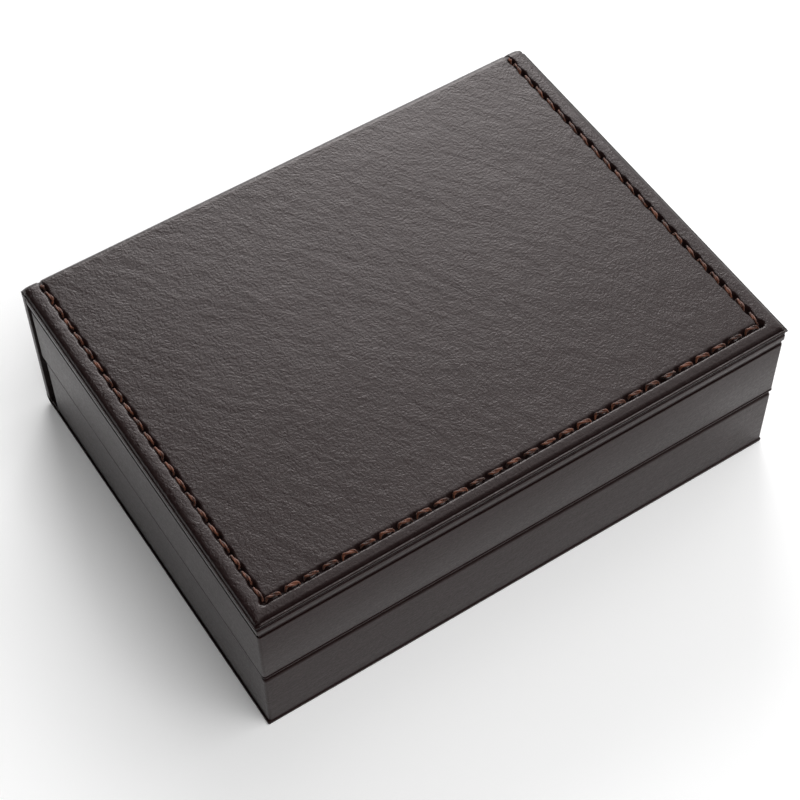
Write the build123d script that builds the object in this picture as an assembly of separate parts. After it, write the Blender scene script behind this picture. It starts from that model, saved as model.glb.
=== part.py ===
from build123d import *
import os
from math import cos, pi, radians, sin

os.makedirs("parts", exist_ok=True)

# A book-style pen gift box, in millimetres. The long side runs along X, the front faces -Y, the
# spine stands at +Y and the box rests on Z = 0. The origin is the middle of its underside.

# Case: two boards and a spine board in one leatherette cover
box_length = 170.0
box_depth = 129.5
leather = 0.5
case_board = 1.4
case_inset = 0.3
case_corner = 1.5
case_edge_radius = 0.7
turn_in_width = 11.0

# Folds that the spine turns on, one at its foot and one at its head
fold_radius = 3.0
fold_split = 0.3

# Padded and stitched panel on the lid
backing_thickness = 0.8
backing_inset = 0.4
panel_board_thickness = 1.0
panel_foam_thickness = 0.9
lip_height = 0.9
roll_width = 4.2
roll_turn = 65.0

# Seam along three sides of the panel
seam_inset = 5.7
seam_groove_depth = 0.65
groove_floor_width = 1.3
groove_top_width = 2.3
stitch_pitch = 5.65
needle_slot_length = 1.9
needle_slot_width = 1.1
thread_width = 0.9
thread_clearance = 0.05
thread_end_height = 0.35
thread_end_gap = 0.6
seam_end_margin = 1.8

# Two trays that meet at the parting line
tray_height = 23.4
parting_gap = 0.2
upper_tray_inset = 0.7
lower_tray_inset = 1.1
upper_tray_setback = 0.3
lower_tray_setback = 2.6
tray_corner = 1.5
wall_board = 3.0
floor_board = 1.6
lining = 0.5
hem_height = 0.7
hem_proud = 0.5

# Magnet pairs in the rims of the two front walls
magnet_length = 12.0
magnet_width = 2.0
magnet_height = 4.0
magnet_offset = 48.0

# Pen bed
bed_height = 12.5
bed_clearance = 0.3
velvet = 0.5
trough_radius = 7.5
trough_length = 150.0
trough_pitch = 36.0
trough_count = 3
elastic_offset = 42.0
elastic_width = 10.0
elastic_thickness = 0.8
tab_width = 12.0
tab_length = 16.0
tab_thickness = 0.6

# Cushion inside the lid
pad_clearance = 0.5
pad_board_thickness = 1.2
pad_height = 4.8
pad_crown = 1.2
pad_side_draw = 1.0
pad_corner = 4.0
pad_edge_radius = 2.0

# Levels from the underside up
case_thickness = case_board + 2 * leather
lower_rim_z = case_thickness + tray_height
upper_rim_z = lower_rim_z + parting_gap
lid_case_z = upper_rim_z + tray_height
backing_z = lid_case_z + case_thickness
panel_z = backing_z + backing_thickness
box_height = panel_z + panel_board_thickness + panel_foam_thickness + leather

# Plan lines
half_length = box_length / 2
front_y = -box_depth / 2
back_y = box_depth / 2
fold_y = back_y - fold_radius
case_half_length = half_length - case_inset
case_front_y = front_y + case_inset
seam_x = half_length - seam_inset
seam_front_y = front_y + seam_inset
seam_back_y = fold_y - seam_end_margin
groove_back_y = seam_back_y + needle_slot_length / 2
groove_floor_z = box_height - seam_groove_depth

# A fold's axis sits so far inside the corner that its arc keeps its length when it lies flat.
fold_axis_offset = fold_radius * (1 - pi / 4)
fold_axis_y = back_y - fold_axis_offset


def save(name, shape):
    """Write one sub-part to its own file."""
    export_step(shape, f"parts/{name}.step")


def block(x0, x1, y0, y1, z0, z1):
    """Rectangular block between two corners, whichever way round its levels are given."""
    low, high = sorted((z0, z1))
    centre = Pos((x0 + x1) / 2, (y0 + y1) / 2, (low + high) / 2)
    return centre * Box(x1 - x0, y1 - y0, high - low)


def rounded_block(half_x, y0, y1, z0, z1, radius):
    """Block with its four upright edges rounded."""
    low, high = sorted((z0, z1))
    outline = RectangleRounded(2 * half_x, y1 - y0, radius)
    return Pos(0, (y0 + y1) / 2, low) * extrude(outline, high - low)


def front_rounded_block(half_x, y0, y1, z0, z1, radius):
    """Block with only its two front upright edges rounded."""
    longer = rounded_block(half_x, y0, y1 + 2 * radius, z0, z1, radius)
    return longer & block(-half_x, half_x, y0, y1, z0, z1)


def along_x(lines, half_x):
    """Solid whose outline is drawn in Y and Z and runs along X."""
    return extrude(Plane.YZ * make_face(lines), half_x, both=True)


def arc_skin(centre_z, start, end):
    """Stretch of the cover round a fold, between two angles in degrees from +Y."""
    middle = (start + end) / 2
    inner = fold_radius - leather

    def at(radius, angle):
        return (fold_y + radius * cos(radians(angle)), centre_z + radius * sin(radians(angle)))

    lines = [
        ThreePointArc(at(fold_radius, start), at(fold_radius, middle), at(fold_radius, end)),
        Line(at(fold_radius, end), at(inner, end)),
        ThreePointArc(at(inner, end), at(inner, middle), at(inner, start)),
        Line(at(inner, start), at(fold_radius, start)),
    ]
    return along_x(lines, case_half_length)


# Each fold's skin is parted halfway round, between what turns and what it turns on.
split_angle = 45.0
split_half_angle = (fold_split / 2) / fold_radius * 180 / pi
lower_fold_z = fold_radius
upper_fold_z = box_height - fold_radius


def edge_loop(shape, z):
    """Outer edges at one level, apart from those along the fold."""
    level = shape.edges().filter_by_position(Axis.Z, z - 1e-4, z + 1e-4)
    return [edge for edge in level if (edge @ 0.5).Y < fold_y - 1e-3]


def case_board_solid(outer_z, inner_z):
    """Greyboard of the base or the lid, between its outer and inner faces."""
    step = leather if inner_z > outer_z else -leather
    return front_rounded_block(
        case_half_length - leather,
        case_front_y + leather,
        fold_y,
        outer_z + step,
        inner_z - step,
        case_corner - leather,
    )


def case_window(outer_z, inner_z):
    """Middle of the case's inner face, inside the turned-in edges."""
    step = leather if inner_z > outer_z else -leather
    return block(
        -(case_half_length - turn_in_width),
        case_half_length - turn_in_width,
        case_front_y + turn_in_width,
        fold_y,
        inner_z - step,
        inner_z,
    )


def case_wrap_solid(outer_z, inner_z):
    """Leatherette round a case board: its outer face, three edges and their turned-in strips."""
    whole = front_rounded_block(
        case_half_length, case_front_y, fold_y, outer_z, inner_z, case_corner
    )
    whole = fillet(edge_loop(whole, outer_z) + edge_loop(whole, inner_z), case_edge_radius)
    return whole - case_board_solid(outer_z, inner_z) - case_window(outer_z, inner_z)


# Base case
save("base_board", case_board_solid(0, case_thickness))
base_fold_skin = arc_skin(lower_fold_z, -90, -split_angle - split_half_angle)
save("base_wrap", case_wrap_solid(0, case_thickness) + base_fold_skin)
save("base_liner", case_window(0, case_thickness))

# Lid case, which the padded panel lies on
save("lid_case_board", case_board_solid(backing_z, lid_case_z))
save("lid_case_wrap", case_wrap_solid(backing_z, lid_case_z))
save("lid_liner", case_window(backing_z, lid_case_z))

# Spine: board, outer skin with half of each fold, and the liner on its inner face
spine_outer_y = back_y - leather
spine_board_y = spine_outer_y - case_board
spine_inner_y = spine_board_y - leather
spine_board_half = case_half_length - leather
save(
    "spine_board",
    block(
        -spine_board_half,
        spine_board_half,
        spine_board_y,
        spine_outer_y,
        lower_fold_z,
        upper_fold_z,
    ),
)
spine_skin = block(
    -case_half_length, case_half_length, spine_board_y, back_y, lower_fold_z, upper_fold_z
) - block(
    -spine_board_half, spine_board_half, spine_board_y, spine_outer_y, lower_fold_z, upper_fold_z
)
spine_foot_skin = arc_skin(lower_fold_z, -split_angle + split_half_angle, 0)
spine_head_skin = arc_skin(upper_fold_z, 0, split_angle - split_half_angle)
save("spine_cover", spine_skin + spine_foot_skin + spine_head_skin)
save(
    "spine_liner",
    block(
        -case_half_length,
        case_half_length,
        spine_inner_y,
        spine_board_y,
        lower_fold_z,
        upper_fold_z,
    ),
)


def roll_arcs(edge, top, inward):
    """Roll of the panel's edge: a tight arc up from the lip, then a wide one that runs level."""
    lip_z = panel_z + lip_height
    rise = top - lip_z
    turned = sin(radians(roll_turn))
    left = cos(radians(roll_turn))
    scale = (1 - left) * (1 - turned) - left * turned
    tight = (roll_width * (1 - turned) - left * rise) / scale
    wide = ((1 - left) * rise - turned * roll_width) / scale

    def on_tight(angle):
        return (
            edge + inward * tight * (1 - cos(radians(angle))),
            lip_z + tight * sin(radians(angle)),
        )

    def on_wide(angle):
        return (
            edge + inward * (roll_width - wide * cos(radians(angle))),
            top - wide * (1 - sin(radians(angle))),
        )

    return [
        ThreePointArc(on_tight(0), on_tight(roll_turn / 2), on_tight(roll_turn)),
        ThreePointArc(on_wide(roll_turn), on_wide((roll_turn + 90) / 2), on_wide(90)),
    ]


def rolled_profile(near, far, top, both_sides):
    """Outline of the padded panel across one direction, with its edges rolled down."""
    lip_z = panel_z + lip_height
    lines = roll_arcs(near, top, 1)
    lines += [Line((near, lip_z), (near, panel_z)), Line((near, panel_z), (far, panel_z))]
    if both_sides:
        lines += [Line((far, panel_z), (far, lip_z))]
        lines += roll_arcs(far, top, -1)
        lines += [Line((far - roll_width, top), (near + roll_width, top))]
    else:
        lines += [Line((far, panel_z), (far, top)), Line((far, top), (near + roll_width, top))]
    return make_face(lines)


def rolled_panel(inset):
    """Panel whose front, left and right edges roll down, set in from the outer surface."""
    half_x = half_length - inset
    near_y = front_y + inset
    top = box_height - inset
    across_y = extrude(Plane.YZ * rolled_profile(near_y, fold_y, top, False), half_x, both=True)
    across_x = extrude(
        Plane.XZ.offset(-fold_y) * rolled_profile(-half_x, half_x, top, True), fold_y - near_y
    )
    corners = front_rounded_block(
        half_x, near_y, fold_y, panel_z, box_height, max(case_corner - inset, leather)
    )
    return across_y & across_x & corners


def seam_block(margin_low, margin_high, low, high):
    """Block round the seam's inside, open at the back, whose upright sides slope with its margins."""
    levels = []
    for margin, z in ((margin_low, low), (margin_high, high)):
        y0 = seam_front_y - margin
        outline = Rectangle(2 * (seam_x + margin), groove_back_y - y0)
        levels.append(Pos(0, (groove_back_y + y0) / 2, z) * outline)
    return loft(levels, ruled=True)


def seam_groove(extra):
    """Groove with sloping sides under the seam, along both ends and the front."""
    floor = groove_floor_width / 2 + extra
    slope = (groove_top_width - groove_floor_width) / 2
    low = groove_floor_z - extra
    high = low + seam_groove_depth
    return seam_block(floor, floor + slope, low, high) - seam_block(-floor, -floor - slope, low, high)


# Needle holes divide each side of the seam into whole stitches near the chosen pitch.
front_stitches = round(2 * seam_x / stitch_pitch)
side_stitches = round((seam_back_y - seam_front_y) / stitch_pitch)
front_pitch = 2 * seam_x / front_stitches
side_pitch = (seam_back_y - seam_front_y) / side_stitches
slot_floor_z = groove_floor_z - leather


def needle_slots():
    """Holes that the thread dives into, one at each end of each stitch."""
    depth = box_height - slot_floor_z
    centre_z = slot_floor_z + depth / 2
    slots = []
    for index in range(front_stitches + 1):
        x = -seam_x + index * front_pitch
        slot = Box(needle_slot_length, needle_slot_width, depth)
        slots.append(Pos(x, seam_front_y, centre_z) * slot)
    for x in (-seam_x, seam_x):
        for index in range(side_stitches + 1):
            y = seam_front_y + index * side_pitch
            slot = Box(needle_slot_width, needle_slot_length, depth)
            slots.append(Pos(x, y, centre_z) * slot)
    return slots


def stitch(pitch):
    """One bowed stitch along X, which dives into the holes at both of its ends."""
    under_z = groove_floor_z + thread_clearance
    end = pitch / 2 - thread_end_gap / 2
    shoulder = pitch / 2 - needle_slot_length / 2 + thread_clearance
    end_z = slot_floor_z + thread_clearance
    end_top_z = end_z + thread_end_height
    lines = [
        Line((-end, end_z), (-shoulder, under_z)),
        Line((-shoulder, under_z), (shoulder, under_z)),
        Line((shoulder, under_z), (end, end_z)),
        Line((end, end_z), (end, end_top_z)),
        ThreePointArc((end, end_top_z), (0, box_height), (-end, end_top_z)),
        Line((-end, end_top_z), (-end, end_z)),
    ]
    return extrude(Plane.XZ * make_face(lines), thread_width / 2, both=True)


# Padded panel: wrapped backing card, board, foam and the stitched leatherette over them
save(
    "panel_backing",
    front_rounded_block(
        half_length - backing_inset,
        front_y + backing_inset,
        fold_y,
        backing_z,
        panel_z,
        case_corner,
    ),
)
panel_core = rolled_panel(leather) - seam_groove(leather)
board_zone = block(
    -half_length, half_length, front_y, fold_y, panel_z, panel_z + panel_board_thickness
)
save("panel_board", panel_core & board_zone)
save("panel_foam", panel_core - board_zone)
lid_skin = rolled_panel(0) - seam_groove(0) - panel_core - needle_slots()
save("lid_cover", lid_skin + arc_skin(upper_fold_z, split_angle + split_half_angle, 90))

front_stitch = stitch(front_pitch)
side_stitch = Rot(0, 0, 90) * stitch(side_pitch)
stitches = []
for index in range(front_stitches):
    x = -seam_x + (index + 0.5) * front_pitch
    stitches.append(Pos(x, seam_front_y, 0) * front_stitch)
for x in (-seam_x, seam_x):
    for index in range(side_stitches):
        y = seam_front_y + (index + 0.5) * side_pitch
        stitches.append(Pos(x, y, 0) * side_stitch)
save("seam_thread", Compound(children=stitches))


def mitred_wall(ring, side, half_x, y0, y1, low, high):
    """One wall of a tray, cut from its ring of board along the mitres of its corners."""
    reach = 2 * wall_board
    outer = {"a": (-half_x, y0), "b": (half_x, y0), "c": (half_x, y1), "d": (-half_x, y1)}
    inner = {
        "a": (reach - half_x, y0 + reach),
        "b": (half_x - reach, y0 + reach),
        "c": (half_x - reach, y1 - reach),
        "d": (reach - half_x, y1 - reach),
    }
    start, end = {"front": "ab", "right": "bc", "back": "cd", "left": "da"}[side]
    outline = Polyline(outer[start], outer[end], inner[end], inner[start], close=True)
    wedge = extrude(Pos(0, 0, low) * make_face(outline), high - low)
    return ring & wedge


def magnet_blocks(board_y, rim_board_z, inward):
    """Pair of magnets under the rim of a front wall."""
    blocks = []
    for x in (-magnet_offset, magnet_offset):
        blocks.append(
            block(
                x - magnet_length / 2,
                x + magnet_length / 2,
                board_y - magnet_width / 2,
                board_y + magnet_width / 2,
                rim_board_z,
                rim_board_z + inward * magnet_height,
            )
        )
    return blocks


def build_tray(name, inset, setback, seat_z, rim_z, hem):
    """Write one tray: four mitred walls, floor, wrap, lining and magnets. Returns its hollow."""
    outward = 1 if rim_z > seat_z else -1
    half_x = half_length - inset
    y0 = front_y + inset
    y1 = fold_y - setback
    board_half = half_x - leather
    board_y0 = y0 + leather
    board_y1 = y1 - leather
    inner_half = board_half - wall_board
    inner_y0 = board_y0 + wall_board
    inner_y1 = board_y1 - wall_board
    rim_board_z = rim_z - outward * leather
    floor_z = seat_z + outward * floor_board
    low, high = sorted((seat_z, rim_board_z))

    boards = rounded_block(board_half, board_y0, board_y1, seat_z, rim_board_z, tray_corner - leather)
    ring = boards - block(-inner_half, inner_half, inner_y0, inner_y1, seat_z, rim_board_z)
    magnets = magnet_blocks(board_y0 + wall_board / 2, rim_board_z, -outward)
    for side in ("front", "back", "left", "right"):
        wall = mitred_wall(ring, side, board_half, board_y0, board_y1, low, high)
        if side == "front":
            wall = wall - magnets
        save(f"{name}_{side}_wall", wall)
    save(f"{name}_magnets", Compound(children=magnets))
    save(
        f"{name}_tray_floor",
        block(-inner_half, inner_half, inner_y0, inner_y1, seat_z, floor_z),
    )

    open_half = inner_half - lining
    open_y0 = inner_y0 + lining
    open_y1 = inner_y1 - lining
    hollow = block(-open_half, open_half, open_y0, open_y1, seat_z, rim_z)
    liner = block(-inner_half, inner_half, inner_y0, inner_y1, floor_z, rim_board_z)
    save(f"{name}_tray_lining", liner - hollow)

    wrap = rounded_block(half_x, y0, y1, seat_z, rim_z, tray_corner) - boards
    if hem:
        wrap = wrap + (
            rounded_block(
                half_x + hem_proud,
                y0 - hem_proud,
                y1 + hem_proud,
                rim_z - outward * hem_height,
                rim_z,
                tray_corner,
            )
            - boards
        )
    save(f"{name}_tray_wrap", wrap - hollow)
    return open_half, open_y0, open_y1, floor_z


lower_half, lower_y0, lower_y1, lower_floor_z = build_tray(
    "lower", lower_tray_inset, lower_tray_setback, case_thickness, lower_rim_z, True
)
upper_half, upper_y0, upper_y1, upper_floor_z = build_tray(
    "upper", upper_tray_inset, upper_tray_setback, lid_case_z, upper_rim_z, False
)

# Pen bed: foam with half-round troughs under a velvet cover of even thickness
bed_half = lower_half - bed_clearance
bed_y0 = lower_y0 + bed_clearance
bed_y1 = lower_y1 - bed_clearance
bed_middle_y = (bed_y0 + bed_y1) / 2
bed_top_z = lower_floor_z + bed_height
trough_ys = [
    bed_middle_y + (index - (trough_count - 1) / 2) * trough_pitch for index in range(trough_count)
]


def troughs(extra):
    """Half-round troughs for the pens, grown by a cover's thickness."""
    length = trough_length + 2 * extra
    rod = Rot(0, 90, 0) * Cylinder(trough_radius + extra, length)
    return [Pos(0, y, bed_top_z) * rod for y in trough_ys]


bed = block(-bed_half, bed_half, bed_y0, bed_y1, lower_floor_z, bed_top_z)
foam = bed & block(-bed_half, bed_half, bed_y0, bed_y1, lower_floor_z, bed_top_z - velvet)
foam = foam - troughs(velvet)
save("foam_bed", foam)
save("velvet_bed_cover", bed - troughs(0) - foam)

for side, x in (("left", -elastic_offset), ("right", elastic_offset)):
    save(
        f"elastic_band_{side}",
        block(
            x - elastic_width / 2,
            x + elastic_width / 2,
            bed_y0,
            bed_y1,
            bed_top_z,
            bed_top_z + elastic_thickness,
        ),
    )

tab_y = bed_middle_y - trough_pitch / 2
save(
    "lift_tab",
    block(
        -bed_half,
        tab_length - bed_half,
        tab_y - tab_width / 2,
        tab_y + tab_width / 2,
        bed_top_z,
        bed_top_z + tab_thickness,
    ),
)

# Cushion in the lid: a card, and satin over foam with a crown, a rolled edge and drawn-in sides
pad_half = upper_half - pad_clearance
pad_y0 = upper_y0 + pad_clearance
pad_y1 = upper_y1 - pad_clearance
pad_middle_y = (pad_y0 + pad_y1) / 2
pad_card_z = upper_floor_z - pad_board_thickness
save("lid_pad_board", block(-pad_half, pad_half, pad_y0, pad_y1, upper_floor_z, pad_card_z))


def crowned_profile(half, crown_z, edge_z, high):
    """Outline of the cushion across one direction, hanging down: rolled edges and a crown."""
    radius = pad_edge_radius
    spring_z = edge_z + radius
    lines = [
        Line((-half, high), (-half, spring_z)),
        CenterArc((radius - half, spring_z), radius, 180, 90),
        ThreePointArc((radius - half, edge_z), (0, crown_z), (half - radius, edge_z)),
        CenterArc((half - radius, spring_z), radius, 270, 90),
        Line((half, spring_z), (half, high)),
        Line((half, high), (-half, high)),
    ]
    return make_face(lines)


corner_a = (-pad_half, pad_y0)
corner_b = (pad_half, pad_y0)
corner_c = (pad_half, pad_y1)
corner_d = (-pad_half, pad_y1)
pad_outline = make_face(
    [
        ThreePointArc(corner_a, (0, pad_y0 + pad_side_draw), corner_b),
        ThreePointArc(corner_b, (pad_half - pad_side_draw, pad_middle_y), corner_c),
        ThreePointArc(corner_c, (0, pad_y1 - pad_side_draw), corner_d),
        ThreePointArc(corner_d, (pad_side_draw - pad_half, pad_middle_y), corner_a),
    ]
)
pad_outline = fillet(pad_outline.vertices(), pad_corner)
pad_low_z = pad_card_z - pad_height
pad_edge_z = pad_low_z + pad_crown
pad_depth = pad_y1 - pad_y0

# The two crowns reach different levels, and both blocks stand out past the outline they cut.
pad_beyond = pad_clearance
pad_column = Pos(0, 0, pad_low_z - pad_crown) * extrude(pad_outline, pad_height + pad_crown)
pad_across_y = extrude(
    Plane.YZ
    * Pos(pad_middle_y, 0)
    * crowned_profile(pad_depth / 2, pad_low_z, pad_edge_z, pad_card_z + pad_beyond),
    pad_half + pad_beyond,
    both=True,
)
pad_across_x = extrude(
    Plane.XZ.offset(-pad_y1 - pad_beyond)
    * crowned_profile(pad_half, pad_low_z - pad_crown / 2, pad_edge_z, pad_card_z + pad_beyond),
    pad_depth + 2 * pad_beyond,
)
save("lid_pad", pad_column & pad_across_y & pad_across_x)

print(f"height {box_height:.2f}  lower rim {lower_rim_z:.2f}  upper rim {upper_rim_z:.2f}")
print(f"fold axes at y {fold_axis_y:.3f}, z {fold_axis_offset:.3f} from the base and from the top")
print(f"lower hollow x {lower_half:.2f}  y {lower_y0:.2f} to {lower_y1:.2f}  bed top {bed_top_z:.2f}")
print(f"upper hollow x {upper_half:.2f}  y {upper_y0:.2f} to {upper_y1:.2f}  pad low {pad_low_z:.2f}")
print(f"troughs at y {[round(y, 2) for y in trough_ys]}")
print(f"stitches: front {front_stitches}, each side {side_stitches}")
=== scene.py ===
"""Looks of a pen gift box: stitched leatherette outside, velvet and satin inside."""

import logging
import math
from collections.abc import Callable, Sequence
from dataclasses import dataclass
from enum import Enum

import bpy
import numpy as np
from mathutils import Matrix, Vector, noise


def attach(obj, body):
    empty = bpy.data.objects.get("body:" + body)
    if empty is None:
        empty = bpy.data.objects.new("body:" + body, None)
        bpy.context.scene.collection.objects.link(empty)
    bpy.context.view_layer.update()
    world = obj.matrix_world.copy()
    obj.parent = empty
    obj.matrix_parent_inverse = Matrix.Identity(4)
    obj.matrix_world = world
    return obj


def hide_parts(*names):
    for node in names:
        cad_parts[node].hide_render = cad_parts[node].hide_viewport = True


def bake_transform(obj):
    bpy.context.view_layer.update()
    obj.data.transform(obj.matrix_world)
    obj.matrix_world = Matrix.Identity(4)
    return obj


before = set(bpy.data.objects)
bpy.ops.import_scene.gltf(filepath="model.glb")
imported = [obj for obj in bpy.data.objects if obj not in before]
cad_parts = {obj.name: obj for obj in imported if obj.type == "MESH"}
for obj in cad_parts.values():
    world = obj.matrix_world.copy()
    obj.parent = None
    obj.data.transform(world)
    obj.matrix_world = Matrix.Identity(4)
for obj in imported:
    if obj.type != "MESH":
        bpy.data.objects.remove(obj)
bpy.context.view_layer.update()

log = logging.getLogger("pen_box")

MM = 0.001

Triple = tuple[float, float, float]
Span = tuple[float, float, float, float]
Test = Callable[[Vector, Vector], bool]
Piece = bpy.types.Object
Material = bpy.types.Material
Socket = bpy.types.NodeSocket


class Body(Enum):
    """Parts of the box that move on their own."""

    BASE = "base"
    SPINE = "spine"
    LID = "lid"


class Slot(Enum):
    """Slots of the record, which fit is given with each new piece but does not read."""

    LEATHERETTE = "leatherette"
    VELVET = "velvet"
    SATIN = "satin"
    ELASTIC = "elastic"
    RIBBON = "ribbon"
    THREAD = "thread"


# Bench tools: what every piece is made with


def take(piece: Piece) -> None:
    """Select one piece alone and make it active."""
    bpy.ops.object.select_all(action="DESELECT")
    piece.select_set(True)
    bpy.context.view_layer.objects.active = piece


def named(name: str) -> Piece:
    """Name the primitive just added and put its place into its mesh.

    Args:
        name: The piece's name.

    Returns:
        The piece, with its object at the origin.
    """
    piece = bpy.context.active_object
    piece.name = name
    piece.data.name = name
    bpy.ops.object.transform_apply(location=True, rotation=True, scale=True)
    return piece


def add_block(name: str, low: Sequence[float], high: Sequence[float]) -> Piece:
    """Add a rectangular block between two corners.

    Args:
        name: The piece's name.
        low: Lowest corner in millimetres.
        high: Highest corner in millimetres.

    Returns:
        The block.
    """
    bpy.ops.object.select_all(action="DESELECT")
    middle = [(a + b) / 2 * MM for a, b in zip(low, high)]
    size = [(b - a) * MM for a, b in zip(low, high)]
    bpy.ops.mesh.primitive_cube_add(size=1, location=middle, scale=size)
    return named(name)


def add_upright(name: str, span: Span, levels: Sequence[float]) -> Piece:
    """Add a block over a rectangle in plan.

    Args:
        name: Its name.
        span: Lowest x, highest x, lowest y and highest y.
        levels: Its two levels, in any order.

    Returns:
        The block.
    """
    x0, x1, y0, y1 = span
    return add_block(name, (x0, y0, min(levels)), (x1, y1, max(levels)))


def points_of(piece: Piece) -> np.ndarray:
    """Give a mesh's points in millimetres, one row each."""
    flat = np.empty(len(piece.data.vertices) * 3)
    piece.data.vertices.foreach_get("co", flat)
    return flat.reshape(-1, 3) / MM


def move_points(piece: Piece, points: np.ndarray) -> None:
    """Put a mesh's points at new places, in millimetres."""
    piece.data.vertices.foreach_set("co", (points * MM).ravel())
    piece.data.update()


def add_grid(name: str, columns: np.ndarray, rows: np.ndarray) -> Piece:
    """Add a flat grid with its lines at chosen places.

    Args:
        name: The piece's name.
        columns: Places of the lines along X, in millimetres.
        rows: Places of the lines along Y, in millimetres.

    Returns:
        The grid, at Z = 0.
    """
    bpy.ops.object.select_all(action="DESELECT")
    across, along = len(columns) - 1, len(rows) - 1
    bpy.ops.mesh.primitive_grid_add(x_subdivisions=across, y_subdivisions=along, size=1)
    piece = named(name)
    points = points_of(piece) * MM
    steps_x = (points[:, 0] + 0.5) * across
    steps_y = (points[:, 1] + 0.5) * along
    points[:, 0] = np.interp(steps_x, np.arange(across + 1), columns)
    points[:, 1] = np.interp(steps_y, np.arange(along + 1), rows)
    points[:, 2] = 0
    move_points(piece, points)
    return piece


def add_sheet(name: str, span: Span, cell: float) -> Piece:
    """Add a flat grid of even cells.

    Args:
        name: The piece's name.
        span: Lowest x, highest x, lowest y and highest y.
        cell: Size of a cell in millimetres.

    Returns:
        The grid, at Z = 0.
    """
    x0, x1, y0, y1 = span
    columns = np.linspace(x0, x1, round((x1 - x0) / cell))
    return add_grid(name, columns, np.linspace(y0, y1, round((y1 - y0) / cell)))


class Pick(Enum):
    """What a selection in edit mode is made of, with Blender's three mode switches."""

    EDGES = (False, True, False)
    FACES = (False, False, True)


def pick(piece: Piece, kind: Pick, test: Test) -> int:
    """Enter edit mode with only the chosen edges or faces selected.

    Args:
        piece: The mesh to work on.
        kind: Edges or faces.
        test: Takes a middle in millimetres and a direction, which is an edge's own or a
            face's normal, and says whether it is chosen.

    Returns:
        How many were chosen.
    """
    take(piece)
    mesh = piece.data
    bpy.context.tool_settings.mesh_select_mode = kind.value
    for part in (mesh.vertices, mesh.edges, mesh.polygons):
        part.foreach_set("select", np.zeros(len(part), bool))
    count = 0
    if kind is Pick.EDGES:
        for edge in mesh.edges:
            a, b = (mesh.vertices[i].co for i in edge.vertices)
            if test((a + b) / 2 / MM, (b - a).normalized()):
                edge.select = True
                count += 1
    else:
        for face in mesh.polygons:
            if test(face.center / MM, face.normal):
                face.select = True
                count += 1
    bpy.ops.object.mode_set(mode="EDIT")
    return count


def leave_edit() -> None:
    """Go back to object mode."""
    bpy.ops.object.mode_set(mode="OBJECT")


def pick_rim(piece: Piece) -> None:
    """Enter edit mode with a mesh's open rim selected."""
    take(piece)
    bpy.context.tool_settings.mesh_select_mode = Pick.EDGES.value
    bpy.ops.object.mode_set(mode="EDIT")
    bpy.ops.mesh.select_all(action="DESELECT")
    bpy.ops.mesh.select_non_manifold()


def close_rim(piece: Piece) -> None:
    """Fill a mesh's open rim with a face and point all faces outwards."""
    pick_rim(piece)
    bpy.ops.mesh.edge_face_add()
    bpy.ops.mesh.select_all(action="SELECT")
    bpy.ops.mesh.normals_make_consistent(inside=False)
    leave_edit()


def close_under(piece: Piece, level: float) -> None:
    """Extrude a sheet's rim to a level and close the shape there."""
    before = len(piece.data.vertices)
    pick_rim(piece)
    bpy.ops.mesh.extrude_edges_move()
    leave_edit()
    points = points_of(piece)
    points[before:, 2] = level
    move_points(piece, points)
    close_rim(piece)


def bevel(piece: Piece, width: float, steps: int, test: Test) -> None:
    """Round the chosen edges.

    Args:
        piece: The mesh to work on.
        width: Radius in millimetres.
        steps: Number of facets round each edge.
        test: Chooses the edges, as for pick.
    """
    if pick(piece, Pick.EDGES, test):
        bpy.ops.mesh.bevel(offset=width * MM, segments=steps, affect="EDGES")
    leave_edit()


def modify(piece: Piece, kind: str, **settings: object) -> None:
    """Add a modifier and apply it.

    Args:
        piece: The mesh to work on.
        kind: Blender's name of the modifier's type.
        settings: The modifier's own settings.
    """
    take(piece)
    change = piece.modifiers.new(kind.title(), kind)
    for key, value in settings.items():
        setattr(change, key, value)
    bpy.ops.object.modifier_apply(modifier=change.name)


def combine(piece: Piece, other: Piece, operation: str) -> None:
    """Unite a piece with another, or cut the other out of it, and drop the other.

    Args:
        piece: The mesh to work on.
        other: The block that is used up.
        operation: UNION or DIFFERENCE.
    """
    modify(piece, "BOOLEAN", object=other, operation=operation, solver="EXACT")
    bpy.data.objects.remove(other)


def carve(piece: Piece, low: Sequence[float], high: Sequence[float]) -> None:
    """Cut a rectangular hollow out of a piece.

    Args:
        piece: The mesh to work on.
        low: Lowest corner of the hollow in millimetres.
        high: Its highest corner.
    """
    combine(piece, add_block("cutter", low, high), "DIFFERENCE")


def smooth(piece: Piece, angle: float = 40) -> None:
    """Shade a piece smooth up to an angle between faces, in degrees."""
    take(piece)
    bpy.ops.object.shade_smooth_by_angle(angle=math.radians(angle))


def waves(points: np.ndarray, length: float, seed: float) -> np.ndarray:
    """Give gentle random heights, from about -1 to 1, at points in millimetres.

    Args:
        points: Places, one row each.
        length: Typical length of a wave in millimetres.
        seed: Shifts the pattern, so that pieces differ.

    Returns:
        One height for each point.
    """
    shift = Vector((seed, seed * 0.37, seed * 0.71))
    return np.array([noise.noise(Vector(row) / length + shift) for row in points])


def ramp(value: np.ndarray, start: float, end: float) -> np.ndarray:
    """Rise smoothly from 0 at start to 1 at end."""
    share = np.clip((value - start) / (end - start), 0, 1)
    return share * share * (3 - 2 * share)


# Finishes


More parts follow.
